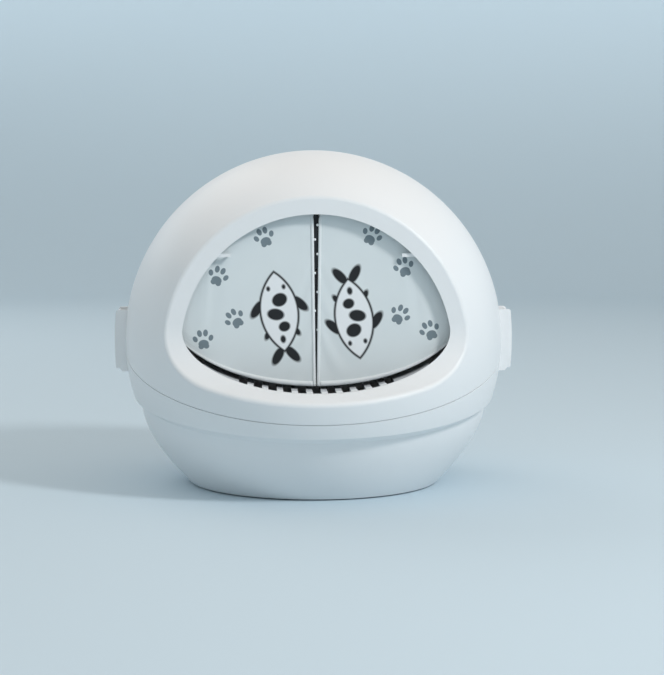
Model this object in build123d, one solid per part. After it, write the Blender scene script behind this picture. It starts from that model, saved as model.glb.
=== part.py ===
from build123d import *
import os
from math import cos, radians, sin, sqrt

# Hooded cat litter box: an egg-shaped lift-off hood on a bowl-shaped pan, held by a latch on
# each side, with a two-panel curtain in the entrance and a slotted sill behind its lower lip.
# Millimetres. +Z is up, the entrance faces -Y, and the floor is z = 0 under the middle.

# The egg that the hood and the pan's collar share: round across, longer from front to back
egg_radius = 225.0
egg_half_length = 256.0
egg_centre_y = -3.7
egg_centre_z = 171.0
wall = 3.0

# The seam between hood and pan rises towards the back, and so does the collar's lower edge
seam_height = 163.0
seam_slope = 0.284
collar_height = 99.0
collar_slope = 0.122
collar_chamfer = 8.0
seam_groove_height = 1.3
seam_groove_depth = 1.6

# The upstanding rim of the pan that the hood drops over
rim_height = 8.0
rim_wall = 2.4
rim_clearance = 0.5
rim_flange_thickness = 3.0
rim_set_back = 19.0  # behind the visor face

# The bowl: half sizes at the foot and at its straight upper part
foot_half_width = 149.0
foot_half_length = 175.0
bowl_half_width = 206.0
bowl_half_length = 232.0
bowl_centre_y = 4.0
bowl_height = 95.0
bowl_sections = 7
pan_floor_thickness = 3.0
foot_rounding = 2.5

# The anti-slip pads under the pan
pad_radius = 9.0
pad_stand = 1.2
pad_recess = 1.2
pad_x = 92.0
pad_y = 112.0
pad_clearance = 0.2

# The visor face cut across the egg: upright above, sloping forward below
visor_set_back = 92.7  # behind the egg's front end
visor_corner_z = 150.2
visor_slope_angle = 20.4
visor_bend_radius = 72.0
visor_edge_rounding = 5.0
visor_y = egg_centre_y - egg_half_length + visor_set_back

# The entrance through the visor face: a round arch above, a flatter curve below
entrance_radius = 153.4
entrance_side_z = 196.5
entrance_bottom_z = 127.1
entrance_side_pull = 33.0
entrance_bottom_pull = 105.0

# The slotted sill: a shallow trough that follows the entrance's lower edge, just below it
sill_drop = 2.0
sill_thickness = 3.0
sill_half_width = 128.0
sill_length = 77.0  # behind the visor face
sill_front_gap = 0.8
sill_ledge_width = 9.0
sill_ledge_thickness = 3.0
slot_count = 11
slot_width = 9.6
slot_pitch = 16.6
slot_back_margin = 10.0

# The fingers of the entrance's lower edge that hold the sill down, one between each two slots
finger_depth = 9.0
finger_thickness = 1.5
finger_gap = 0.3

# The curtain: two panels under two headers, in one upright plane
curtain_set_back = 11.0  # behind the visor face
cloth_thickness = 1.2
curtain_margin = 8.0
curtain_fold_z = 262.0
curtain_gap = 0.3
hem_middle_z = 128.7
hem_side_z = 192.0
hem_side_pull = 14.0
hem_middle_pull = 102.0
slit_top_half_width = 3.0
slit_bottom_half_width = 0.5
strip_thickness = 1.0
strip_width = 9.0
strip_hem_margin = 3.0
strip_fold_margin = 3.0
curtain_y = visor_y + curtain_set_back

# The black centre stay with its peg, at the top of the slit
stay_half_width = 6.0
stay_thickness = 1.5
stay_arm_height = 4.0
stay_arm_gap = 0.6
peg_radius = 3.2
peg_drop = 3.4
peg_reach = 3.0

# The hooks that hold the headers
hook_x = 99.0
hook_z = 278.0
hook_bar_height = 4.0
hook_bar_length = 20.0
hook_bar_thickness = 2.0
hook_shank_radius = 1.6
hook_button_radius = 3.4
hook_button_thickness = 1.6

# The side latches: a plate between two cheeks on the hood, turning on a pin
latch_half_length = 24.0
latch_top_z = 205.0
latch_bottom_z = 137.0
latch_outer_x = 237.0
latch_thickness = 3.4
latch_bulge = 1.6
latch_rounding = 1.2
latch_top_rounding = 3.0
latch_cheek_gap = 0.5
cheek_thickness = 6.0
cheek_outer_x = 235.0
cheek_top_z = 207.0
cheek_foot_z = 134.0
cheek_foot_rise = 9.0
cheek_root_depth = 11.0  # inside the egg, cut back to the shells' inner face
cheek_foot_x = 228.0
cheek_rounding = 3.0
pin_x = 230.6
pin_z = 198.0
pin_radius = 1.6
pin_running_fit = 0.05
pin_cover = 1.5
pin_end_gap = 0.2
barrel_radius = 4.0
nose_z = 143.0
nose_height = 7.0
nose_gap = 0.6
keeper_half_length = 17.0
keeper_top_z = 152.0
keeper_bottom_z = 137.0
keeper_outer_x = 230.0
keeper_wall = 2.5
keeper_foot_width = 3.0
keeper_foot_height = 4.0
keeper_web_height = 8.0

side_reach = 400.0


def egg_solid(radius, half_length):
    """Solid egg: an ellipse turned about its long axis, which runs front to back."""
    with BuildPart() as egg:
        with BuildSketch(Plane.XY):
            Ellipse(radius, half_length)
            with Locations((-radius, 0)):
                Rectangle(2 * radius, 4 * half_length, mode=Mode.SUBTRACT)
        revolve(axis=Axis.Y)
    return Pos(0, egg_centre_y, egg_centre_z) * egg.part


def half_space_above(height, slope):
    """Large block above the plane z = height + slope * y."""
    side = [(-side_reach, height - slope * side_reach), (side_reach, height + slope * side_reach),
            (side_reach, 3 * side_reach), (-side_reach, 3 * side_reach)]
    face = make_face(Plane.YZ * Polyline(*side, close=True))
    return extrude(face, side_reach, dir=(1, 0, 0), both=True)


def slab(height, slope, low, high):
    """Tilted slab between two planes parallel to z = height + slope * y."""
    return half_space_above(height + low, slope) - half_space_above(height + high, slope)


def cut_ellipse(inset, height, slope):
    """Plan outline, as a solid prism, where a tilted plane cuts the egg shrunk by inset."""
    radius = egg_radius - inset
    half_length = egg_half_length - inset
    rise = height + slope * egg_centre_y - egg_centre_z
    square = 1 / half_length**2 + (slope / radius) ** 2
    linear = rise * slope / radius**2
    size = 1 - (rise / radius) ** 2 + linear**2 / square
    centre = egg_centre_y - linear / square
    outline = Ellipse(radius * sqrt(size), sqrt(size / square))
    return Pos(0, centre, 0) * extrude(outline, 2 * side_reach)


def visor_block(depth):
    """Everything in front of the visor face, moved back into the egg by depth."""
    angle = radians(visor_slope_angle)
    corner_y = visor_y + depth
    corner_z = visor_corner_z - depth * (1 - sin(angle)) / cos(angle)
    run = 2 * side_reach
    side = [(corner_y, corner_z), (corner_y - run * cos(angle), corner_z - run * sin(angle)),
            (corner_y - run * cos(angle), run), (corner_y, run)]
    face = make_face(Plane.YZ * Polyline(*side, close=True))
    block = extrude(face, side_reach, dir=(1, 0, 0), both=True)
    bend = block.edges().filter_by(Axis.X).sort_by_distance((0, corner_y, corner_z))[0]
    return fillet(bend, visor_bend_radius + depth)


def entrance_outline():
    """Outline of the entrance, with x across and z up."""
    side_x = sqrt(entrance_radius**2 - (entrance_side_z - egg_centre_z) ** 2)
    pull = entrance_side_pull / entrance_radius
    pull_x = side_x + pull * (entrance_side_z - egg_centre_z)
    pull_z = entrance_side_z - pull * side_x
    top = (0, egg_centre_z + entrance_radius)
    bottom = (0, entrance_bottom_z)
    right = Bezier((side_x, entrance_side_z), (pull_x, pull_z),
                   (entrance_bottom_pull, entrance_bottom_z), bottom)
    left = Bezier(bottom, (-entrance_bottom_pull, entrance_bottom_z),
                  (-pull_x, pull_z), (-side_x, entrance_side_z))
    arch = ThreePointArc((-side_x, entrance_side_z), top, (side_x, entrance_side_z))
    return make_face([arch, right, left])


def upright(face, plane_y):
    """Stand a drawn x-z outline up at depth plane_y, facing the entrance."""
    return Plane(origin=(0, plane_y, 0), x_dir=(1, 0, 0), z_dir=(0, -1, 0)) * face


def extrude_back(face, depth):
    return extrude(face, depth, dir=(0, 1, 0))


def bowl_solid(inset, floor_z, top_z):
    """Bowl whose oval sections follow one side curve, straight from bowl_height upward."""
    curve = Bezier((foot_half_width, 0), (bowl_half_width, bowl_half_width - foot_half_width),
                   (bowl_half_width, bowl_height))
    ovals = []
    for step in range(bowl_sections):
        point = curve @ (step / (bowl_sections - 1))
        share = (point.X - foot_half_width) / (bowl_half_width - foot_half_width)
        half_length = foot_half_length + share * (bowl_half_length - foot_half_length)
        oval = Ellipse(point.X - inset, half_length - inset)
        ovals.append(Pos(0, share * bowl_centre_y, pad_stand + point.Y) * oval)
    body = loft(ovals)
    body += extrude(ovals[-1], top_z - pad_stand - bowl_height)
    return body & half_space_above(floor_z, 0)


def pad_places():
    return [(name, x, y)
            for name, x, y in (("front_left", -pad_x, -pad_y), ("front_right", pad_x, -pad_y),
                               ("back_left", -pad_x, pad_y), ("back_right", pad_x, pad_y))]


def foot_pad(x, y):
    pad = Cylinder(pad_radius, pad_stand + pad_recess, align=(Align.CENTER, Align.CENTER, Align.MIN))
    return Pos(x, y, 0) * pad


def keeper(side):
    """Lug on the pan's collar that the latch closes over."""
    root_x = egg_radius - 2 * wall
    lip_x = keeper_outer_x - keeper_wall
    web_z = keeper_bottom_z + keeper_web_height
    outline = Polyline((root_x, keeper_bottom_z), (keeper_outer_x - keeper_foot_width, keeper_bottom_z),
                       (keeper_outer_x, keeper_bottom_z + keeper_foot_height),
                       (keeper_outer_x, keeper_top_z), (lip_x, keeper_top_z),
                       (lip_x, web_z), (root_x, web_z), close=True)
    lug = extrude_back(upright(make_face(outline), -keeper_half_length), 2 * keeper_half_length)
    return lug if side > 0 else mirror(lug, Plane.YZ)


def base_pan():
    egg = egg_solid(egg_radius, egg_half_length)
    hollow = egg_solid(egg_radius - wall, egg_half_length - wall)
    below_seam = slab(seam_height, seam_slope, -side_reach, 0)
    above_collar = half_space_above(collar_height, collar_slope)
    collar = egg & below_seam & above_collar
    lower_edge = collar.faces().sort_by(Axis.Z)[0].edges()
    collar = chamfer(lower_edge, collar_chamfer)
    below_collar = slab(collar_height, collar_slope, -side_reach, collar_chamfer)
    outer_bowl = bowl_solid(0, pad_stand, seam_height) & below_collar
    outer_bowl = fillet(outer_bowl.faces().sort_by(Axis.Z)[0].edges(), foot_rounding)
    outer = collar + outer_bowl
    inner_bowl = bowl_solid(wall, pad_stand + pan_floor_thickness, seam_height) & below_collar
    collar_room = hollow & half_space_above(collar_height + wall, collar_slope)
    collar_room = chamfer(collar_room.faces().sort_by(Axis.Z)[0].edges(), collar_chamfer)
    top_flange = slab(seam_height, seam_slope, -rim_flange_thickness, 0)
    rim_prism = (cut_ellipse(wall + rim_clearance, seam_height, seam_slope)
                 & cut_ellipse(wall + rim_clearance, seam_height + rim_height, seam_slope))
    rim_room = (cut_ellipse(wall + rim_clearance + rim_wall, seam_height, seam_slope)
                & cut_ellipse(wall + rim_clearance + rim_wall, seam_height + rim_height, seam_slope))
    pan = outer - inner_bowl - (collar_room - top_flange)
    pan -= rim_room & half_space_above(seam_height - 2 * rim_flange_thickness, seam_slope)
    rim = (rim_prism - rim_room) & slab(seam_height, seam_slope, -rim_flange_thickness, rim_height)
    pan += rim - half_space_front(visor_y + rim_set_back)
    for side in (-1, 1):
        pan += keeper(side) - hollow
        for place in (-1, 1):
            pan += (cheek(side, place) & below_seam) - hollow
    for name, x, y in pad_places():
        recess = Cylinder(pad_radius + pad_clearance, 2 * (pad_stand + pad_recess))
        pan -= Pos(x, y, 0) * recess
    return pan


def pin_bore():
    """Bore for the right latch's pin, blind in both cheeks."""
    reach = latch_half_length + latch_cheek_gap + cheek_thickness - pin_cover
    return Pos(pin_x, 0, pin_z) * Rot(90, 0, 0) * Cylinder(pin_radius + pin_running_fit, 2 * reach)


def cheek(side, place):
    """Cheek beside a latch, split by the seam; place is -1 for the front one and 1 for the back."""
    middle = place * (latch_half_length + latch_cheek_gap + cheek_thickness / 2)
    root_x = egg_radius - wall - cheek_root_depth
    outline = Polyline((root_x, cheek_top_z), (cheek_outer_x, cheek_top_z),
                       (cheek_outer_x, cheek_foot_z + cheek_foot_rise),
                       (cheek_foot_x, cheek_foot_z), (root_x, cheek_foot_z), close=True)
    plate = extrude_back(upright(make_face(outline), middle - cheek_thickness / 2), cheek_thickness)
    top_edges = plate.edges().filter_by(Axis.Y)
    corner = top_edges.sort_by_distance((cheek_outer_x, middle, cheek_top_z))[0]
    plate = fillet(corner, cheek_rounding)
    plate -= pin_bore()
    return plate if side > 0 else mirror(plate, Plane.YZ)


def hood_shell():
    egg = egg_solid(egg_radius, egg_half_length)
    hollow = egg_solid(egg_radius - wall, egg_half_length - wall)
    above_seam = half_space_above(seam_height, seam_slope)
    outer = (egg & above_seam) - visor_block(0)
    outer = fillet(visor_rim_edges(outer), visor_edge_rounding)
    room = hollow - visor_block(wall)
    shell = outer - room
    entrance = upright(entrance_outline(), -side_reach)
    shell -= extrude_back(entrance, side_reach + visor_y + 4 * wall)
    groove = egg - inset_egg(seam_groove_depth)
    shell -= groove & slab(seam_height, seam_slope, 0, seam_groove_height)
    for side in (-1, 1):
        for place in (-1, 1):
            shell += (cheek(side, place) & above_seam) - hollow
    shell += sill_ledge()
    for finger in sill_fingers():
        shell += finger
    return shell


def visor_rim_edges(solid):
    """Long edges where the visor face meets the egg, above the seam."""
    def on_visor(edge):
        point = edge @ 0.5
        above_seam = point.Z > seam_height + seam_slope * point.Y + wall / 2
        in_front = point.Y < visor_y + wall / 2
        return in_front and above_seam and edge.length > visor_edge_rounding and abs(point.X) > wall
    return solid.edges().filter_by(on_visor)


def half_space_front(y):
    """Large block in front of the upright plane at y."""
    return Pos(0, y - side_reach, side_reach) * Box(2 * side_reach, 2 * side_reach, 4 * side_reach)


def inset_egg(inset):
    return egg_solid(egg_radius - inset, egg_half_length - inset)


def sill_band(drop, thickness):
    """Curved plate along the entrance's lower edge, its top lowered by drop, inside the hood."""
    outline = entrance_outline()
    section = (Pos(0, -drop - thickness) * outline) - (Pos(0, -drop) * outline)
    width = Pos(0, egg_centre_z) * Rectangle(2 * sill_half_width, 2 * side_reach)
    return extrude_back(upright(section & width, -side_reach), side_reach + visor_y + sill_length)


def sill_ledge():
    """Ledge behind the entrance's lower edge that the sill rests on."""
    ledge = sill_band(sill_drop + sill_thickness, sill_ledge_thickness)
    within = inset_egg(wall / 2) - visor_block(wall / 2)
    return ledge & within & visor_block(wall + sill_ledge_width)


def sill_fingers():
    """Short fingers over the sill's bars, just below the entrance's lower edge."""
    top = sill_drop - finger_gap - finger_thickness
    within = (inset_egg(wall / 2) - visor_block(wall / 2)) & visor_block(wall + finger_depth)
    band = sill_band(top, finger_thickness) & within
    width = slot_pitch - slot_width
    strip = Box(width, 2 * side_reach, 2 * side_reach)
    return [band & (Pos((place - slot_count / 2) * slot_pitch, 0, 0) * strip)
            for place in range(1, slot_count)]


def entry_grate():
    plate = sill_band(sill_drop, sill_thickness)
    plate = (plate & inset_egg(wall + sill_front_gap)) - visor_block(wall + sill_front_gap)
    slot = extrude(Rot(0, 0, 90) * SlotOverall(side_reach, slot_width), side_reach)
    slot_back_y = visor_y + sill_length - slot_back_margin
    for place in range(slot_count):
        x = (place - (slot_count - 1) / 2) * slot_pitch
        plate -= Pos(x, slot_back_y - side_reach / 2, 0) * slot
    return plate


def latch_plate(side):
    half = latch_half_length
    inner_x = latch_outer_x - latch_thickness
    middle_z = (latch_top_z + latch_bottom_z) / 2
    outer = ThreePointArc((latch_outer_x - latch_bulge, latch_top_z), (latch_outer_x, middle_z),
                          (latch_outer_x - latch_bulge, latch_bottom_z))
    inner = ThreePointArc((inner_x - latch_bulge, latch_bottom_z), (inner_x, middle_z),
                          (inner_x - latch_bulge, latch_top_z))
    ends = [Line(outer @ 1, inner @ 0), Line(inner @ 1, outer @ 0)]
    plate = extrude_back(upright(make_face([outer, inner, *ends]), -half), 2 * half)
    long_edges = plate.edges().filter_by(Axis.Y)
    top_edge = long_edges.sort_by_distance((latch_outer_x, 0, latch_top_z))[0]
    plate = fillet(top_edge, latch_top_rounding)
    plate = fillet(plate.edges().filter_by(Axis.Y).sort_by(Axis.Z)[:2], latch_rounding)
    barrel = Pos(pin_x, 0, pin_z) * Rot(90, 0, 0) * Cylinder(barrel_radius, 2 * half)
    web = Box(inner_x - pin_x + latch_bulge / 2, 2 * half, barrel_radius,
              align=(Align.MIN, Align.CENTER, Align.CENTER))
    tip_x = keeper_outer_x + nose_gap
    nose = Pos((tip_x + inner_x) / 2, 0, nose_z) * Box(inner_x - tip_x, 2 * keeper_half_length, nose_height)
    latch = plate + barrel + Pos(pin_x, 0, pin_z) * web + nose
    latch -= pin_bore()
    return latch if side > 0 else mirror(latch, Plane.YZ)


def latch_pin(side):
    length = 2 * (latch_half_length + latch_cheek_gap + cheek_thickness - pin_cover - pin_end_gap)
    return Pos(side * pin_x, 0, pin_z) * Rot(90, 0, 0) * Cylinder(pin_radius, length)


def curtain_outline():
    """Outline of the whole curtain in its plane, hem included."""
    radius = entrance_radius + curtain_margin
    side_x = sqrt(radius**2 - (hem_side_z - egg_centre_z) ** 2)
    middle = (0, hem_middle_z)
    arch = ThreePointArc((-side_x, hem_side_z), (0, egg_centre_z + radius), (side_x, hem_side_z))
    right = Bezier((side_x, hem_side_z), (side_x, hem_side_z - hem_side_pull),
                   (hem_middle_pull, hem_middle_z), middle)
    left = Bezier(middle, (-hem_middle_pull, hem_middle_z),
                  (-side_x, hem_side_z - hem_side_pull), (-side_x, hem_side_z))
    return make_face([arch, right, left])


def slit_half_width(z):
    top = egg_centre_z + entrance_radius
    share = (z - hem_middle_z) / (top - hem_middle_z)
    return slit_bottom_half_width + share * (slit_top_half_width - slit_bottom_half_width)


def curtain_side(side, low_z, high_z):
    """Part of one curtain half between two heights, clear of the slit."""
    corners = [(side * slit_half_width(low_z), low_z), (side * slit_half_width(high_z), high_z),
               (side * side_reach, high_z), (side * side_reach, low_z)]
    return curtain_outline() & make_face(Polyline(*corners, close=True))


def curtain_panel(side):
    face = curtain_side(side, hem_middle_z - curtain_margin, curtain_fold_z - curtain_gap / 2)
    return extrude_back(upright(face, curtain_y), cloth_thickness)


def curtain_header(side):
    face = curtain_side(side, curtain_fold_z + curtain_gap / 2, egg_centre_z + 2 * entrance_radius)
    header = extrude_back(upright(face, curtain_y), cloth_thickness)
    hole = Pos(side * hook_x, curtain_y, hook_z) * Rot(90, 0, 0)
    header -= hole * Cylinder(hook_shank_radius + curtain_gap, 4 * cloth_thickness)
    peg = Pos(0, curtain_y, peg_height()) * Rot(90, 0, 0)
    return header - peg * Cylinder(peg_radius + curtain_gap, 4 * cloth_thickness)


def closure_strip(side):
    """Black strip sewn behind the inner edge of a panel."""
    low_z = hem_middle_z + strip_hem_margin
    high_z = curtain_fold_z - strip_fold_margin
    near = side * curtain_gap
    far = side * strip_width
    face = make_face(Polyline((near, low_z), (far, low_z), (far, high_z), (near, high_z), close=True))
    return extrude_back(upright(face, curtain_y + cloth_thickness), strip_thickness)


def peg_height():
    return egg_centre_z + entrance_radius - peg_drop


def centre_stay():
    """Black stay behind the slit of the headers, with a peg in front and an arm to the hood."""
    back_y = curtain_y + cloth_thickness
    arm_low = egg_centre_z + entrance_radius + curtain_margin + stay_arm_gap
    low_z = curtain_fold_z + curtain_gap / 2
    plate = Box(2 * stay_half_width, stay_thickness, arm_low + stay_arm_height - low_z,
                align=(Align.CENTER, Align.MIN, Align.MIN))
    arm_front = visor_y + wall
    arm = Box(2 * stay_half_width, back_y + stay_thickness - arm_front, stay_arm_height,
              align=(Align.CENTER, Align.MIN, Align.MIN))
    reach = cloth_thickness + peg_reach
    peg = Pos(0, back_y - reach / 2, peg_height()) * Rot(90, 0, 0) * Cylinder(peg_radius, reach)
    return Pos(0, back_y, low_z) * plate + Pos(0, arm_front, arm_low) * arm + peg


def curtain_hook(side):
    """Bar along the back of the visor face, with a shank through the header and a button."""
    front_y = visor_y + wall
    bar = Box(hook_bar_length, hook_bar_thickness, hook_bar_height,
              align=(Align.MIN, Align.MIN, Align.CENTER))
    start_x = hook_x - hook_bar_height / 2
    back_y = curtain_y + cloth_thickness + curtain_gap
    shank_length = back_y + hook_button_thickness - front_y
    shank = Pos(hook_x, front_y + shank_length / 2, hook_z) * Rot(90, 0, 0)
    button = Pos(hook_x, back_y + hook_button_thickness / 2, hook_z) * Rot(90, 0, 0)
    hook = Pos(start_x, front_y, hook_z) * bar
    hook += shank * Cylinder(hook_shank_radius, shank_length)
    hook += button * Cylinder(hook_button_radius, hook_button_thickness)
    return hook if side > 0 else mirror(hook, Plane.YZ)


def save(name, part):
    export_step(part, f"parts/{name}.step")
    print(name, round(part.volume / 1000, 1), "cm3")


if __name__ == "__main__":
    os.makedirs("parts", exist_ok=True)
    save("base_pan", base_pan())
    save("hood_shell", hood_shell())
    save("entry_grate", entry_grate())
    for name, x, y in pad_places():
        save(f"foot_pad_{name}", foot_pad(x, y))
    save("centre_stay", centre_stay())
    for word, side in (("left", -1), ("right", 1)):
        save(f"latch_{word}", latch_plate(side))
        save(f"latch_pin_{word}", latch_pin(side))
        save(f"curtain_{word}", curtain_panel(side))
        save(f"curtain_header_{word}", curtain_header(side))
        save(f"closure_strip_{word}", closure_strip(side))
        save(f"curtain_hook_{word}", curtain_hook(side))
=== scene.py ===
import math
import random

import bpy
import numpy as np
from mathutils import Matrix, Vector


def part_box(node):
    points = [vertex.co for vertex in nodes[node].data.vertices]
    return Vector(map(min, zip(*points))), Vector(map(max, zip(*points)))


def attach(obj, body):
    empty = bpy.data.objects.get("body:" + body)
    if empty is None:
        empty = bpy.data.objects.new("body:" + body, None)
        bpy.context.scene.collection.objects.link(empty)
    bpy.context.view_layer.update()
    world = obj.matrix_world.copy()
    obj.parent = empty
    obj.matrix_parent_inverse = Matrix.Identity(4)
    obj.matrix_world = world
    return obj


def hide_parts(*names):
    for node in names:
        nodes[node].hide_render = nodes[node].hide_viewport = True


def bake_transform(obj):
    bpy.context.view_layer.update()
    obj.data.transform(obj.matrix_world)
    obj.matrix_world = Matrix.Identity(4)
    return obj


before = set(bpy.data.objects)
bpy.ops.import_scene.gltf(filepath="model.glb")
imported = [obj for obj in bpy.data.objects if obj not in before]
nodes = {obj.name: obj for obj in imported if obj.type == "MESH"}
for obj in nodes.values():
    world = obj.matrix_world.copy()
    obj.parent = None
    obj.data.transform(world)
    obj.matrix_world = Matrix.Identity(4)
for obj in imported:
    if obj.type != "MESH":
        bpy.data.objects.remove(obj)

# Hooded litter box. Metres, entrance towards -Y, floor at z = 0.

scene = bpy.context.scene
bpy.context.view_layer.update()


# Camera, at the photo's angle

photo = {
    "width": 664, "height": 675,      # frame, pixels
    "focal": 2292,                    # focal length, pixels
    "axisX": 313.3, "horizonY": 146,  # column of the box's middle, row of eye level
    "distance": 2.75, "eyeHeight": 0.401,
    "sensorWidth": 36,                # millimetres
    "yaw": -1.2,                      # degrees
}


def makeCamera():
    yaw = math.radians(photo["yaw"])
    reach = photo["distance"]
    place = Vector((reach * math.sin(yaw), -reach * math.cos(yaw), photo["eyeHeight"]))
    pan = math.atan((photo["width"] / 2 - photo["axisX"]) / photo["focal"])
    tilt = math.atan((photo["height"] / 2 - photo["horizonY"]) / photo["focal"])
    data = bpy.data.cameras.new("studioCamera")
    data.sensor_fit = "HORIZONTAL"
    data.sensor_width = photo["sensorWidth"]
    data.lens = photo["focal"] / photo["width"] * data.sensor_width
    camera = bpy.data.objects.new("studioCamera", data)
    scene.collection.objects.link(camera)
    turn = Matrix.Rotation(yaw - pan, 4, "Z") @ Matrix.Rotation(math.pi / 2 - tilt, 4, "X")
    camera.matrix_world = Matrix.Translation(place) @ turn
    scene.camera = camera


makeCamera()
print("camera ready")


# Small helpers

def linear(red, green, blue):
    return tuple(v / 12.92 if v <= 0.04045 else ((v + 0.055) / 1.055) ** 2.4
                 for v in (red / 255, green / 255, blue / 255)) + (1.0,)


def addMesh(name, verts, faces):
    mesh = bpy.data.meshes.new(name)
    mesh.from_pydata([tuple(v) for v in verts], [], faces)
    mesh.update()
    for face in mesh.polygons:
        face.use_smooth = True
    obj = bpy.data.objects.new(name, mesh)
    scene.collection.objects.link(obj)
    return obj


def applyModifiers(obj):
    graph = bpy.context.evaluated_depsgraph_get()
    graph.update()
    finished = bpy.data.meshes.new_from_object(obj.evaluated_get(graph))
    obj.modifiers.clear()
    obj.data = finished


# Shader groups

def newGroup(name, inputs, outputs):
    group = bpy.data.node_groups.new(name, "ShaderNodeTree")
    for label, kind, value in inputs:
        socket = group.interface.new_socket(label, in_out="INPUT", socket_type=kind)
        if value is not None:
            socket.default_value = value
    for label, kind in outputs:
        group.interface.new_socket(label, in_out="OUTPUT", socket_type=kind)
    start = group.nodes.new("NodeGroupInput")
    end = group.nodes.new("NodeGroupOutput")
    return group, start, end


def addNode(tree, kind, links=(), **settings):
    node = tree.nodes.new(kind)
    for key, value in settings.items():
        setattr(node, key, value)
    for socket, value in dict(links).items():
        if isinstance(value, bpy.types.NodeSocket):
            tree.links.new(value, node.inputs[socket])
        else:
            node.inputs[socket].default_value = value
    return node


def maths(tree, operation, first, second=None, third=None):
    links = {0: first}
    if second is not None:
        links[1] = second
    if third is not None:
        links[2] = third
    return addNode(tree, "ShaderNodeMath", links, operation=operation).outputs[0]


mould = {"grainShare": 0.35, "mottleLow": 0.45, "mottleHigh": 0.9}


def makeMouldGrain():
    # moulded plastic: a broad drift of tone under a fine spark-eroded grain
    group, start, end = newGroup(
        "mouldGrain",
        [("Grain Size", "NodeSocketFloat", 0.0006), ("Drift Size", "NodeSocketFloat", 0.16),
         ("Rough Low", "NodeSocketFloat", 0.4), ("Rough High", "NodeSocketFloat", 0.5)],
        [("Tone", "NodeSocketFloat"), ("Roughness", "NodeSocketFloat"), ("Height", "NodeSocketFloat")])
    place = addNode(group, "ShaderNodeTexCoord").outputs["Object"]
    grainScale = maths(group, "DIVIDE", 1.0, start.outputs["Grain Size"])
    driftScale = maths(group, "DIVIDE", 1.0, start.outputs["Drift Size"])
    grain = addNode(group, "ShaderNodeTexNoise", {"Vector": place, "Scale": grainScale, "Detail": 2.0})
    drift = addNode(group, "ShaderNodeTexNoise", {"Vector": place, "Scale": driftScale, "Detail": 3.0})
    mottle = maths(group, "MULTIPLY_ADD", grain.outputs["Fac"], mould["grainShare"], drift.outputs["Fac"])
    rough = addNode(group, "ShaderNodeMapRange", {
        "Value": mottle, "From Min": mould["mottleLow"], "From Max": mould["mottleHigh"],
        "To Min": start.outputs["Rough Low"], "To Max": start.outputs["Rough High"]})
    group.links.new(drift.outputs["Fac"], end.inputs["Tone"])
    group.links.new(rough.outputs["Result"], end.inputs["Roughness"])
    group.links.new(grain.outputs["Fac"], end.inputs["Height"])
    return group


weaveLook = {"fuzzScale": 900.0, "cloudScale": 16.0, "relief": 0.35}


def makeWeave():
    # plain weave over the cloth's own flat coordinates, in metres
    group, start, end = newGroup(
        "plainWeave",
        [("Thread Size", "NodeSocketFloat", 0.00045), ("Slub", "NodeSocketFloat", 0.3)],
        [("Tone", "NodeSocketFloat"), ("Height", "NodeSocketFloat")])
    flat = addNode(group, "ShaderNodeUVMap", uv_map="clothFlat").outputs["UV"]
    parts = addNode(group, "ShaderNodeSeparateXYZ", {"Vector": flat})
    rate = maths(group, "DIVIDE", math.pi, start.outputs["Thread Size"])
    across = maths(group, "SINE", maths(group, "MULTIPLY", parts.outputs["X"], rate))
    along = maths(group, "SINE", maths(group, "MULTIPLY", parts.outputs["Y"], rate))
    crossing = maths(group, "MULTIPLY", across, along)
    fuzz = addNode(group, "ShaderNodeTexNoise", {
        "Vector": flat, "Scale": weaveLook["fuzzScale"], "Detail": 3.0})
    slubs = maths(group, "MULTIPLY", fuzz.outputs["Fac"], start.outputs["Slub"])
    height = maths(group, "MULTIPLY_ADD", crossing, weaveLook["relief"], slubs)
    cloudy = addNode(group, "ShaderNodeTexNoise", {
        "Vector": flat, "Scale": weaveLook["cloudScale"], "Detail": 2.0})
    group.links.new(cloudy.outputs["Fac"], end.inputs["Tone"])
    group.links.new(height, end.inputs["Height"])
    return group


def localPlace(tree, start):
    # flat cloth coordinates moved, turned and scaled to one motif's own units
    flat = addNode(tree, "ShaderNodeUVMap", uv_map="clothFlat").outputs["UV"]
    offset = addNode(tree, "ShaderNodeVectorMath", {
        0: flat, 1: start.outputs["Centre"]}, operation="SUBTRACT")
    turned = addNode(tree, "ShaderNodeVectorRotate", {
        "Vector": offset.outputs["Vector"], "Angle": start.outputs["Turn"]}, rotation_type="Z_AXIS")
    size = addNode(tree, "ShaderNodeCombineXYZ", {
        "X": start.outputs["Size"], "Y": start.outputs["Size"], "Z": 1.0})
    return addNode(tree, "ShaderNodeVectorMath", {
        0: turned.outputs["Vector"], 1: size.outputs["Vector"]}, operation="DIVIDE").outputs["Vector"]


softEdge = 0.02  # half width of a printed edge, in a motif's own units


def oval(tree, place, x, y, radiusX, radiusY, degrees=0.0, grow=0.0):
    # mask of one oval with a narrow soft edge
    offset = addNode(tree, "ShaderNodeVectorMath", {
        0: place, 1: (x, y, 0)}, operation="SUBTRACT").outputs["Vector"]
    if degrees:
        offset = addNode(tree, "ShaderNodeVectorRotate", {
            "Vector": offset, "Angle": -math.radians(degrees)}, rotation_type="Z_AXIS").outputs["Vector"]
    scaled = addNode(tree, "ShaderNodeVectorMath", {
        0: offset, 1: (radiusX + grow, radiusY + grow, 1)}, operation="DIVIDE").outputs["Vector"]
    reach = addNode(tree, "ShaderNodeVectorMath", {0: scaled}, operation="LENGTH").outputs["Value"]
    blur = softEdge / min(radiusX, radiusY)
    return addNode(tree, "ShaderNodeMapRange", {
        "Value": reach, "From Min": 1 + blur, "From Max": 1 - blur}).outputs["Result"]


def union(tree, masks):
    total = masks[0]
    for mask in masks[1:]:
        total = maths(tree, "MAXIMUM", total, mask)
    return total


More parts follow.
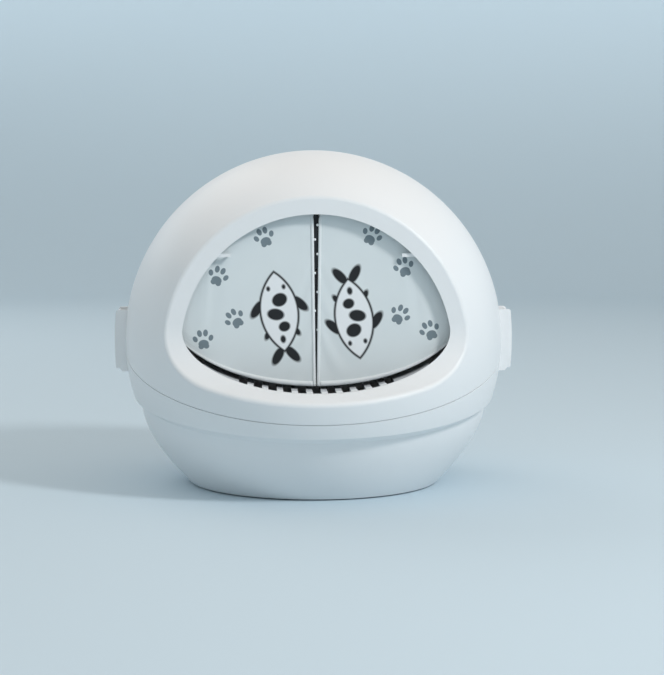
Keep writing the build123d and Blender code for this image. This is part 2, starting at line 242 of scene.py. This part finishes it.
motifInputs = [("Centre", "NodeSocketVector", (0, 0, 0)), ("Turn", "NodeSocketFloat", 0.0),
               ("Size", "NodeSocketFloat", 0.01)]


# Ovals of a paw print: x, y, two radii and a turn in degrees
paw = {
    "toes": [(-0.86, 0.34, 0.25, 0.34, 24), (-0.33, 0.92, 0.26, 0.38, 8),
             (0.33, 0.92, 0.26, 0.38, -8), (0.86, 0.34, 0.25, 0.34, -24)],
    "pad": [(0, -0.24, 0.56, 0.44), (-0.28, -0.5, 0.3, 0.3), (0.28, -0.5, 0.3, 0.3)],
}


def makePawPrint():
    group, start, end = newGroup("pawPrint", motifInputs, [("Mask", "NodeSocketFloat")])
    place = localPlace(group, start)
    spots = [oval(group, place, *spot) for spot in paw["toes"] + paw["pad"]]
    group.links.new(union(group, spots), end.inputs["Mask"])
    return group


# Pond fish seen from above, nose up, body two units long. Paired ovals stand on the right and are mirrored.
fish = {
    "halfWidth": 0.46, "outline": 0.055,
    "fin": (0.55, 0.14, 0.12, 0.28, 42), "rearFin": (0.36, -0.54, 0.08, 0.17, 34),
    "tailLobe": (0.19, -1.13, 0.12, 0.27, 36), "eye": (0.2, 0.62, 0.05, 0.065, 0),
    "patches": [(0.05, 0.3, 0.2, 0.17, 20), (-0.1, -0.06, 0.22, 0.15, -15), (0.08, -0.4, 0.15, 0.13, 10),
                (0.0, -0.72, 0.07, 0.1, 0)],
}


def mirrored(spot):
    x, y, radiusX, radiusY, degrees = spot
    return [(side * x, y, radiusX, radiusY, side * degrees) for side in (-1, 1)]


def makeFishPrint():
    # white body, with the outline, fins and patches in ink
    group, start, end = newGroup("fishPrint", motifInputs, [
        ("Outline", "NodeSocketFloat"), ("Body", "NodeSocketFloat"), ("Ink", "NodeSocketFloat")])
    place = localPlace(group, start)
    bend = (1 + fish["halfWidth"] ** 2) / (2 * fish["halfWidth"])  # radius of each side
    aside = bend - fish["halfWidth"]

    def silhouette(grow):
        sides = [oval(group, place, side * aside, 0, bend, bend, 0, grow) for side in (-1, 1)]
        return maths(group, "MINIMUM", *sides)

    limbs = mirrored(fish["fin"]) + mirrored(fish["rearFin"]) + mirrored(fish["tailLobe"])
    spots = mirrored(fish["eye"]) + fish["patches"]
    ink = union(group, [oval(group, place, *spot) for spot in spots])
    outside = union(group, [silhouette(fish["outline"])] + [oval(group, place, *limb) for limb in limbs])
    group.links.new(outside, end.inputs["Outline"])
    group.links.new(silhouette(0.0), end.inputs["Body"])
    group.links.new(ink, end.inputs["Ink"])
    return group


groups = {
    "mould": makeMouldGrain(), "weave": makeWeave(),
    "paw": makePawPrint(), "fish": makeFishPrint(),
}
print("shader groups:", len(groups))


# Materials

def newMaterial(name):
    material = bpy.data.materials.new(name)
    material.use_nodes = True
    tree = material.node_tree
    tree.nodes.clear()
    shader = tree.nodes.new("ShaderNodeBsdfPrincipled")
    output = tree.nodes.new("ShaderNodeOutputMaterial")
    tree.links.new(shader.outputs["BSDF"], output.inputs["Surface"])
    return material, tree, shader


def addGroup(tree, group, **values):
    node = tree.nodes.new("ShaderNodeGroup")
    node.node_tree = group
    for key, value in values.items():
        node.inputs[key].default_value = value
    return node


def mixColour(tree, factor, first, second):
    return addNode(tree, "ShaderNodeMix", {0: factor, 6: first, 7: second}, data_type="RGBA").outputs[2]


def bumpFrom(tree, height, distance):
    return addNode(tree, "ShaderNodeBump", {"Height": height, "Distance": distance}).outputs[0]


plastics = {
    "shellWhite": {"light": (243, 244, 245), "deep": (238, 240, 241), "grain": 0.0007,
                   "rough": (0.36, 0.46), "bump": 0.00003, "specular": 0.45},
    "latchWhite": {"light": (245, 246, 247), "deep": (240, 242, 243), "grain": 0.0006,
                   "rough": (0.3, 0.38), "bump": 0.00002, "specular": 0.5},
    # the grate is moulded in the same white plastic as the shell; this grey colour is painted shade of the
    # sill inside the entrance
    "sillShadeGrey": {"light": (196, 200, 204), "deep": (188, 192, 196), "grain": 0.0008,
                 "rough": (0.45, 0.58), "bump": 0.00003, "specular": 0.4},
    "padGrey": {"light": (92, 96, 100), "deep": (78, 82, 86), "grain": 0.001,
                "rough": (0.7, 0.85), "bump": 0.0001, "specular": 0.3},
}


def makePlastic(name):
    look = plastics[name]
    material, tree, shader = newMaterial(name)
    grain = addGroup(tree, groups["mould"], **{
        "Grain Size": look["grain"], "Rough Low": look["rough"][0], "Rough High": look["rough"][1]})
    colour = mixColour(tree, grain.outputs["Tone"], linear(*look["light"]), linear(*look["deep"]))
    tree.links.new(colour, shader.inputs["Base Color"])
    tree.links.new(grain.outputs["Roughness"], shader.inputs["Roughness"])
    tree.links.new(bumpFrom(tree, grain.outputs["Height"], look["bump"]), shader.inputs["Normal"])
    shader.inputs["Specular IOR Level"].default_value = look["specular"]
    return material


steel = {"light": (188, 190, 192), "deep": (160, 162, 165), "grain": 0.0004, "rough": (0.25, 0.4)}


def makeSteel():
    material, tree, shader = newMaterial("pinSteel")
    grain = addGroup(tree, groups["mould"], **{
        "Grain Size": steel["grain"], "Rough Low": steel["rough"][0], "Rough High": steel["rough"][1]})
    colour = mixColour(tree, grain.outputs["Tone"], linear(*steel["light"]), linear(*steel["deep"]))
    tree.links.new(colour, shader.inputs["Base Color"])
    tree.links.new(grain.outputs["Roughness"], shader.inputs["Roughness"])
    shader.inputs["Metallic"].default_value = 1.0
    return material


# The curtain's print: two fish, nose up and nose down, and paws. Lengths in metres of flat cloth.
curtainPrint = {
    "pawGrey": (128, 142, 149), "pawDark": (116, 130, 138),
    "ink": (20, 23, 28), "white": (242, 244, 246),
    "pawSize": 0.0104, "fishSize": 0.044,
    # centre x, centre z, turn in degrees
    "paws": [(-0.058, 0.296, 20), (-0.112, 0.252, -20), (-0.091, 0.204, 36), (-0.128, 0.180, 6),
             (0.062, 0.298, -26), (0.100, 0.262, 16), (0.094, 0.208, -30), (0.130, 0.190, 22)],
    "fish": [(-0.042, 0.214, 8), (0.043, 0.206, 189)],
}


cloth = {
    "light": (230, 236, 237), "deep": (224, 231, 233), "hem": (246, 248, 249), "rough": 0.78,
    "thread": 0.0005, "bump": 0.00006, "sheen": 0.15,
}


def addMotif(tree, kind, place):
    x, z, degrees = place
    return addGroup(tree, groups[kind], **{
        "Centre": (x, z, 0), "Turn": -math.radians(degrees), "Size": curtainPrint[kind + "Size"]})


def makeCloth(name, light, deep, printed=False):
    material, tree, shader = newMaterial(name)
    weave = addGroup(tree, groups["weave"], **{"Thread Size": cloth["thread"]})
    colour = mixColour(tree, weave.outputs["Tone"], linear(*light), linear(*deep))
    if printed:
        pawTone = mixColour(tree, weave.outputs["Tone"], linear(*curtainPrint["pawGrey"]),
                            linear(*curtainPrint["pawDark"]))
        paws = [addMotif(tree, "paw", place).outputs["Mask"] for place in curtainPrint["paws"]]
        colour = mixColour(tree, union(tree, paws), colour, pawTone)
        ink, white = linear(*curtainPrint["ink"]), linear(*curtainPrint["white"])
        for place in curtainPrint["fish"]:
            motif = addMotif(tree, "fish", place)
            colour = mixColour(tree, motif.outputs["Outline"], colour, ink)
            colour = mixColour(tree, motif.outputs["Body"], colour, white)
            colour = mixColour(tree, motif.outputs["Ink"], colour, ink)
    tree.links.new(colour, shader.inputs["Base Color"])
    tree.links.new(bumpFrom(tree, weave.outputs["Height"], cloth["bump"]), shader.inputs["Normal"])
    shader.inputs["Roughness"].default_value = cloth["rough"]
    shader.inputs["Sheen Weight"].default_value = cloth["sheen"]
    return material


tape = {"deep": (17, 20, 25), "light": (34, 38, 44), "ribScale": 260.0, "wander": 1.2,
        "bump": 0.0001, "rough": 0.8}


def makeTape():
    material, tree, shader = newMaterial("blackTape")
    place = addNode(tree, "ShaderNodeTexCoord").outputs["Object"]
    rib = addNode(tree, "ShaderNodeTexWave", {
        "Vector": place, "Scale": tape["ribScale"], "Distortion": tape["wander"], "Detail": 2.0},
        bands_direction="Z")
    colour = mixColour(tree, rib.outputs["Fac"], linear(*tape["deep"]), linear(*tape["light"]))
    tree.links.new(colour, shader.inputs["Base Color"])
    tree.links.new(bumpFrom(tree, rib.outputs["Fac"], tape["bump"]), shader.inputs["Normal"])
    shader.inputs["Roughness"].default_value = tape["rough"]
    return material


materials = {name: makePlastic(name) for name in plastics}
materials["pinSteel"] = makeSteel()
materials["blackTape"] = makeTape()
materials["printedCloth"] = makeCloth("printedCloth", cloth["light"], cloth["deep"], printed=True)
materials["plainCloth"] = makeCloth("plainCloth", cloth["light"], cloth["deep"])
materials["hemCloth"] = makeCloth("hemCloth", cloth["hem"], cloth["light"])
print("materials:", len(materials))


# Carried-over pieces get their finish

finishes = {
    "shellWhite": ["base_pan", "hood_shell", "curtain_hook_left", "curtain_hook_right"],
    # entry grate: white plastic given a grey colour that is painted shade
    "sillShadeGrey": ["entry_grate"],
    "latchWhite": ["latch_left", "latch_right"],
    "pinSteel": ["latch_pin_left", "latch_pin_right"],
    "blackTape": ["centre_stay", "closure_strip_left", "closure_strip_right"],
    "padGrey": ["foot_pad_front_left", "foot_pad_front_right", "foot_pad_back_left", "foot_pad_back_right"],
}

for finish, names in finishes.items():
    for name in names:
        for slot in nodes[name].material_slots:
            slot.material = materials[finish]
print("finishes set on", sum(len(names) for names in finishes.values()), "nodes")


# The curtain, one cloth half each side of the slit

curtain = {
    "columns": 56, "rows": 72,
    "arcCentreZ": 0.171, "arcRadius": 0.1612,   # round top edge, hidden behind the entrance's edge
    "sideMargin": 0.004,                        # how far the last column stays from the arc's end
    "hemMiddleZ": 0.1289, "hemSideZ": 0.192, "hemSidePull": 0.014, "hemMiddlePull": 0.102,
    "halvings": 40,                             # how finely the hem's curve is searched
    "slitTop": 0.003, "slitBottom": 0.0006,     # half width of the slit
    "foldZ": 0.262, "foldBand": 0.016,          # where the panel bends from its header
    "thickness": 0.0005,
    "waveDepth": 0.0007, "waves": 2.1, "waveLean": 3, "leanZ": 0.2,
    "ripple": 0.4, "ripples": 5.3, "rippleLean": 25,  # ripples on the waves, as a share of their depth
    "stillWidth": 0.012, "fadeWidth": 0.03,     # flat beside the slit, then the waves come in
    "calm": 0.35, "calmZ": 0.31, "calmDrop": 0.16,  # share of the depth at the top, and where it grows
    "frames": 24, "travel": 0.003,              # simulation steps, and the most that a point may move
    "slitHem": 0.0034, "slitHemColumns": 2,     # folded edge beside the slit
    "hemRows": 2, "stitchLift": 1.3,            # folded edge below, and threads in cloth thicknesses
    "flatSize": (0.158, 0.204), "flatArea": 0.0252,
    "seeds": {"left": 11, "right": 12},
}
hanging = {
    "quality": 6, "mass": 0.12, "tension_stiffness": 20, "compression_stiffness": 18,
    "shear_stiffness": 8, "bending_stiffness": 0.35, "pin_stiffness": 1.0,
}
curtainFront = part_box("curtain_left")[0].y
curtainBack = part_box("curtain_left")[1].y


def hemHeight(x):
    # height of the hem's curve at a distance x from the middle
    side = math.sqrt(curtain["arcRadius"] ** 2 - (curtain["hemSideZ"] - curtain["arcCentreZ"]) ** 2)
    ends = [(side, curtain["hemSideZ"]), (side, curtain["hemSideZ"] - curtain["hemSidePull"]),
            (curtain["hemMiddlePull"], curtain["hemMiddleZ"]), (0.0, curtain["hemMiddleZ"])]
    low, high = 0.0, 1.0
    for _ in range(curtain["halvings"]):
        t = (low + high) / 2
        weights = ((1 - t) ** 3, 3 * t * (1 - t) ** 2, 3 * t * t * (1 - t), t ** 3)
        here = sum(w * p[0] for w, p in zip(weights, ends))
        low, high = (t, high) if here > x else (low, t)
    return sum(w * p[1] for w, p in zip(weights, ends))


def archHeight(x):
    return curtain["arcCentreZ"] + math.sqrt(max(curtain["arcRadius"] ** 2 - x * x, 0))


def slitAt(z):
    top = curtain["arcCentreZ"] + curtain["arcRadius"]
    share = (z - curtain["hemMiddleZ"]) / (top - curtain["hemMiddleZ"])
    return curtain["slitBottom"] + share * (curtain["slitTop"] - curtain["slitBottom"])


def clothGrid(side):
    # rest positions on a grid: column 0 is the slit's edge, row 0 the hem
    columns, rows = curtain["columns"], curtain["rows"]
    widest = curtain["arcRadius"] - curtain["sideMargin"]
    grid = np.zeros((rows + 1, columns + 1, 3))
    folded = curtain["slitHemColumns"]
    for column in range(columns + 1):
        if column <= folded:
            x = curtain["slitHem"] * column / folded
        else:
            x = curtain["slitHem"] + (widest - curtain["slitHem"]) * (column - folded) / (columns - folded)
        share = x / widest
        low, high = hemHeight(x), archHeight(x)
        for row in range(rows + 1):
            z = low + (high - low) * row / rows
            edge = slitAt(z)
            grid[row, column] = (side * (edge + share * (widest - edge)), 0, z)
    return grid


def gridFaces(rows, columns, side):
    faces = []
    for row in range(rows):
        for column in range(columns):
            a = row * (columns + 1) + column
            quad = (a, a + 1, a + columns + 2, a + columns + 1)
            faces.append(quad if side > 0 else quad[::-1])
    return faces


def flatCoordinates(obj, flat):
    layer = obj.data.uv_layers.new(name="clothFlat")
    for loop in obj.data.loops:
        x, z = flat[loop.vertex_index]
        layer.data[loop.index].uv = (x, z)


def hangCloth(obj, pinned):
    # let the cloth hang from its sewn edges
    group = obj.vertex_groups.new(name="sewn")
    for index in pinned:
        group.add([index], 1.0, "REPLACE")
    modifier = obj.modifiers.new("hanging", "CLOTH")
    for name, value in hanging.items():
        setattr(modifier.settings, name, value)
    modifier.settings.vertex_group_mass = "sewn"
    modifier.collision_settings.use_collision = False
    modifier.point_cache.frame_start = 1
    modifier.point_cache.frame_end = curtain["frames"]
    for number in range(1, curtain["frames"] + 1):
        scene.frame_set(number)
    applyModifiers(obj)
    scene.frame_set(1)


def makeCurtainHalf(word, side):
    rows, columns = curtain["rows"], curtain["columns"]
    grid = clothGrid(side)
    flat = [(p[0], p[2]) for p in grid.reshape(-1, 3)]
    middleY = (curtainFront + curtainBack) / 2
    dice = random.Random(curtain["seeds"][word])
    drift = [dice.uniform(0, 2 * math.pi) for _ in range(2)]
    for row in range(rows + 1):
        for column in range(columns + 1):
            x, _, z = grid[row, column]
            across = abs(x) / curtain["arcRadius"]
            fade = min(1.0, max(0.0, abs(x) - curtain["stillWidth"]) / curtain["fadeWidth"])
            lean = curtain["waveLean"] * (z - curtain["leanZ"]) * side
            wave = math.sin(2 * math.pi * curtain["waves"] * across + drift[0] + lean)
            turns = 2 * math.pi * curtain["ripples"] * across
            ripple = curtain["ripple"] * math.sin(turns + drift[1] + curtain["rippleLean"] * z)
            below = min(1.0, max(0.0, (curtain["calmZ"] - z) / curtain["calmDrop"]))
            lower = curtain["calm"] + (1 - curtain["calm"]) * below
            grid[row, column, 1] = middleY + fade * lower * curtain["waveDepth"] * (wave + ripple)
    obj = addMesh(f"curtainCloth_{word}", grid.reshape(-1, 3), gridFaces(rows, columns, side))
    flatCoordinates(obj, flat)
    pinned = []
    for row in range(rows + 1):
        for column in range(columns + 1):
            index = row * (columns + 1) + column
            if row == rows or column >= columns - 1 or column == 0:
                pinned.append(index)
    before = np.array([v.co for v in obj.data.vertices])
    hangCloth(obj, pinned)
    after = np.array([v.co for v in obj.data.vertices])
    travel = curtain["travel"]
    after[:, 1] = np.clip(after[:, 1], before[:, 1] - travel, before[:, 1] + travel)
    after[:, 1] = np.minimum(after[:, 1], curtainBack - curtain["thickness"] / 2)
    obj.data.vertices.foreach_set("co", after.astype(np.float32).ravel())
    obj.data.update()
    shape = np.array([v.co for v in obj.data.vertices]).reshape(rows + 1, columns + 1, 3)
    return obj, shape, flat


def thicken(obj):
    modifier = obj.modifiers.new("thickness", "SOLIDIFY")
    modifier.thickness = curtain["thickness"]
    modifier.offset = 0
    if len(obj.data.materials) > 1:  # the second material is the cloth's unprinted back
        modifier.material_offset = 1
        modifier.material_offset_rim = 1
    applyModifiers(obj)


def makeHem(name, side, shape, flat, rowsUsed, columnsUsed):
    # strip of doubled cloth that follows part of the hung grid, in front of it
    rows, columns = len(rowsUsed) - 1, len(columnsUsed) - 1
    verts, coords = [], []
    total = curtain["columns"] + 1
    for row in rowsUsed:
        for column in columnsUsed:
            point = shape[row, column].copy()
            point[1] -= curtain["thickness"]
            verts.append(point)
            coords.append(flat[row * total + column])
    obj = addMesh(name, verts, gridFaces(rows, columns, side))
    flatCoordinates(obj, coords)
    obj.data.materials.append(materials["hemCloth"])
    thicken(obj)
    return obj


stitching = {
    "length": 0.0022, "gap": 0.0014, "radius": 0.00022, "around": 6, "flatness": 0.7,
    "profile": [(-0.5, 0.35), (-0.3, 1.0), (0.3, 1.0), (0.5, 0.35)],  # share of length, share of radius
}


def stitchLine(name, pairs):
    # one short thread capsule for each pair of points
    verts, faces = [], []
    length, radius, ring = stitching["length"], stitching["radius"], stitching["around"]
    levels = len(stitching["profile"]) - 1
    for start, end in pairs:
        axis = (end - start).normalized()
        sideways = axis.cross(Vector((0, 1, 0))).normalized()
        up = sideways.cross(axis)
        middle = (start + end) / 2
        base = len(verts)
        for share, size in stitching["profile"]:
            for step in range(ring):
                angle = 2 * math.pi * step / ring
                out = sideways * math.cos(angle) + up * math.sin(angle) * stitching["flatness"]
                verts.append(middle + axis * (share * length) + out * radius * size)
        for level in range(levels):
            for step in range(ring):
                a = base + level * ring + step
                b = base + level * ring + (step + 1) % ring
                faces.append((a, b, b + ring, a + ring))
        faces.append(tuple(base + step for step in reversed(range(ring))))
        faces.append(tuple(base + levels * ring + step for step in range(ring)))
    return addMesh(name, verts, faces)


def stitchesAlong(name, line):
    # walk along a line of hung points in quarter steps and lay a stitch every whole step
    points, travelled, spot = [], 0.0, 0.0
    step = stitching["length"] + stitching["gap"]
    for first, second in zip(line[:-1], line[1:]):
        length = (second - first).length
        while spot <= travelled + length:
            share = (spot - travelled) / length
            points.append(first.lerp(second, share))
            spot += step / 4
        travelled += length
    pairs = [(points[index], points[index + 2]) for index in range(0, len(points) - 3, 4)]
    stitches = stitchLine(name, pairs)
    stitches.data.materials.append(materials["hemCloth"])
    return stitches


curtainPieces = {}
for word, side in (("left", -1), ("right", 1)):
    main, shape, flat = makeCurtainHalf(word, side)
    main.data.materials.append(materials["printedCloth"])
    main.data.materials.append(materials["plainCloth"])
    thicken(main)
    rows, columns = curtain["rows"], curtain["columns"]
    slitColumn, hemRow = curtain["slitHemColumns"], curtain["hemRows"]
    lift = Vector((0, curtain["stitchLift"] * curtain["thickness"], 0))
    slitHem = makeHem(f"slitHem_{word}", side, shape, flat, range(rows + 1), range(slitColumn + 1))
    lowerHem = makeHem(f"lowerHem_{word}", side, shape, flat, range(hemRow + 1),
                       range(slitColumn, columns + 1))
    slitLine = [Vector(shape[row, slitColumn]) - lift for row in range(rows + 1)]
    hemLine = [Vector(shape[hemRow, column]) - lift for column in range(columns)]
    curtainPieces[word] = [main, slitHem, lowerHem, stitchesAlong(f"slitStitches_{word}", slitLine),
                           stitchesAlong(f"hemStitches_{word}", hemLine)]

for word, pieces in curtainPieces.items():
    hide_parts(f"curtain_{word}", f"curtain_header_{word}")
    for piece in pieces:
        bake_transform(piece)
print("curtain hung:", sum(len(p) for p in curtainPieces.values()), "pieces")


# White studs along the black tape in the slit

studs = {
    "radius": 0.0016, "dome": 0.0011, "aside": 0.0016, "rings": 5, "around": 16, "topRadius": 1e-5,
    "heights": [0.312, 0.2955, 0.279, 0.2575, 0.236, 0.2145, 0.193],
}


def makeStud(name, x, y, z):
    rings, around = studs["rings"], studs["around"]
    verts, faces = [], []
    for ring in range(rings):
        angle = math.pi / 2 * ring / (rings - 1)
        reach = max(studs["radius"] * math.cos(angle), studs["topRadius"])
        rise = studs["dome"] * math.sin(angle)
        for step in range(around):
            turn = 2 * math.pi * step / around
            verts.append((x + reach * math.cos(turn), y - rise, z + reach * math.sin(turn)))
    for ring in range(rings - 1):
        for step in range(around):
            a, b = ring * around + step, ring * around + (step + 1) % around
            faces.append((a, b, b + around, a + around))
    faces.append(tuple((rings - 1) * around + step for step in range(around)))
    faces.append(tuple(reversed(range(around))))
    obj = addMesh(name, verts, faces)
    obj.data.materials.append(materials["latchWhite"])
    return obj


for number, height in enumerate(studs["heights"]):
    side = 1 if number % 2 == 0 else -1
    stud = makeStud(f"slitStud_{number + 1}", side * studs["aside"], curtainBack, height)
    above = height > curtain["foldZ"]
    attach(stud, "hood" if above else ("curtain_right" if side > 0 else "curtain_left"))
print("studs:", len(studs["heights"]))


# Studio: round pale floor that rises to a backdrop on every side, lamps, world

studio = {
    "floorRadius": 3.3, "bendRadius": 0.9, "wallTop": 2.4, "around": 96, "bendSteps": 12,
    "floorColour": (203, 220, 230), "floorRough": 0.85,
    "wallGlow": 0.42, "glowLow": 0.05, "glowHigh": 1.3,   # brightness that only the camera and gloss see
    "worldColour": (255, 250, 244), "worldStrength": 0.62,
    "keyPlace": (1.9, -1.7, 2.0), "keySize": 0.55, "keyPower": 41,
    "fillPlace": (-1.6, 2.2, 2.0), "fillSize": 2.4, "fillPower": 16,
    "aim": (0, 0, 0.18),
}


def makeFloor():
    profile = [(0.0, 0.0), (studio["floorRadius"] * 0.5, 0.0), (studio["floorRadius"], 0.0)]
    for step in range(1, studio["bendSteps"] + 1):
        angle = math.pi / 2 * step / studio["bendSteps"]
        profile.append((studio["floorRadius"] + studio["bendRadius"] * math.sin(angle),
                        studio["bendRadius"] * (1 - math.cos(angle))))
    profile.append((studio["floorRadius"] + studio["bendRadius"], studio["wallTop"]))
    around = studio["around"]
    verts = [(0, 0, 0)]
    for radius, height in profile[1:]:
        for step in range(around):
            turn = 2 * math.pi * step / around
            verts.append((radius * math.cos(turn), radius * math.sin(turn), height))
    faces = [(0, 1 + step, 1 + (step + 1) % around) for step in range(around)]
    for ring in range(len(profile) - 2):
        for step in range(around):
            a = 1 + ring * around + step
            b = 1 + ring * around + (step + 1) % around
            faces.append((a, a + around, b + around, b))
    floor = addMesh("studioFloor", verts, faces)
    material, tree, shader = newMaterial("studioFloor")
    shader.inputs["Base Color"].default_value = linear(*studio["floorColour"])
    shader.inputs["Roughness"].default_value = studio["floorRough"]
    shader.inputs["Emission Color"].default_value = linear(*studio["floorColour"])
    path = addNode(tree, "ShaderNodeLightPath")
    seen = maths(tree, "MAXIMUM", path.outputs["Is Camera Ray"], path.outputs["Is Glossy Ray"])
    height = addNode(tree, "ShaderNodeSeparateXYZ", {
        "Vector": addNode(tree, "ShaderNodeTexCoord").outputs["Object"]}).outputs["Z"]
    rise = addNode(tree, "ShaderNodeMapRange", {
        "Value": height, "From Min": studio["glowLow"], "From Max": studio["glowHigh"],
        "To Max": studio["wallGlow"]}, interpolation_type="SMOOTHSTEP").outputs["Result"]
    tree.links.new(maths(tree, "MULTIPLY", seen, rise), shader.inputs["Emission Strength"])
    floor.data.materials.append(material)


def makeLamp(kind):
    data = bpy.data.lights.new(kind + "Lamp", "AREA")
    data.shape = "DISK"
    data.size = studio[kind + "Size"]
    data.energy = studio[kind + "Power"]
    lamp = bpy.data.objects.new(kind + "Lamp", data)
    scene.collection.objects.link(lamp)
    place = Vector(studio[kind + "Place"])
    lamp.location = place
    lamp.rotation_euler = (Vector(studio["aim"]) - place).to_track_quat("-Z", "Y").to_euler()


def makeWorld():
    world = bpy.data.worlds.new("studioWorld")
    world.use_nodes = True
    background = world.node_tree.nodes["Background"]
    background.inputs["Color"].default_value = linear(*studio["worldColour"])
    background.inputs["Strength"].default_value = studio["worldStrength"]
    scene.world = world


makeFloor()
makeLamp("key")
makeLamp("fill")
makeWorld()
scene.view_settings.view_transform = "Standard"
print("studio ready")
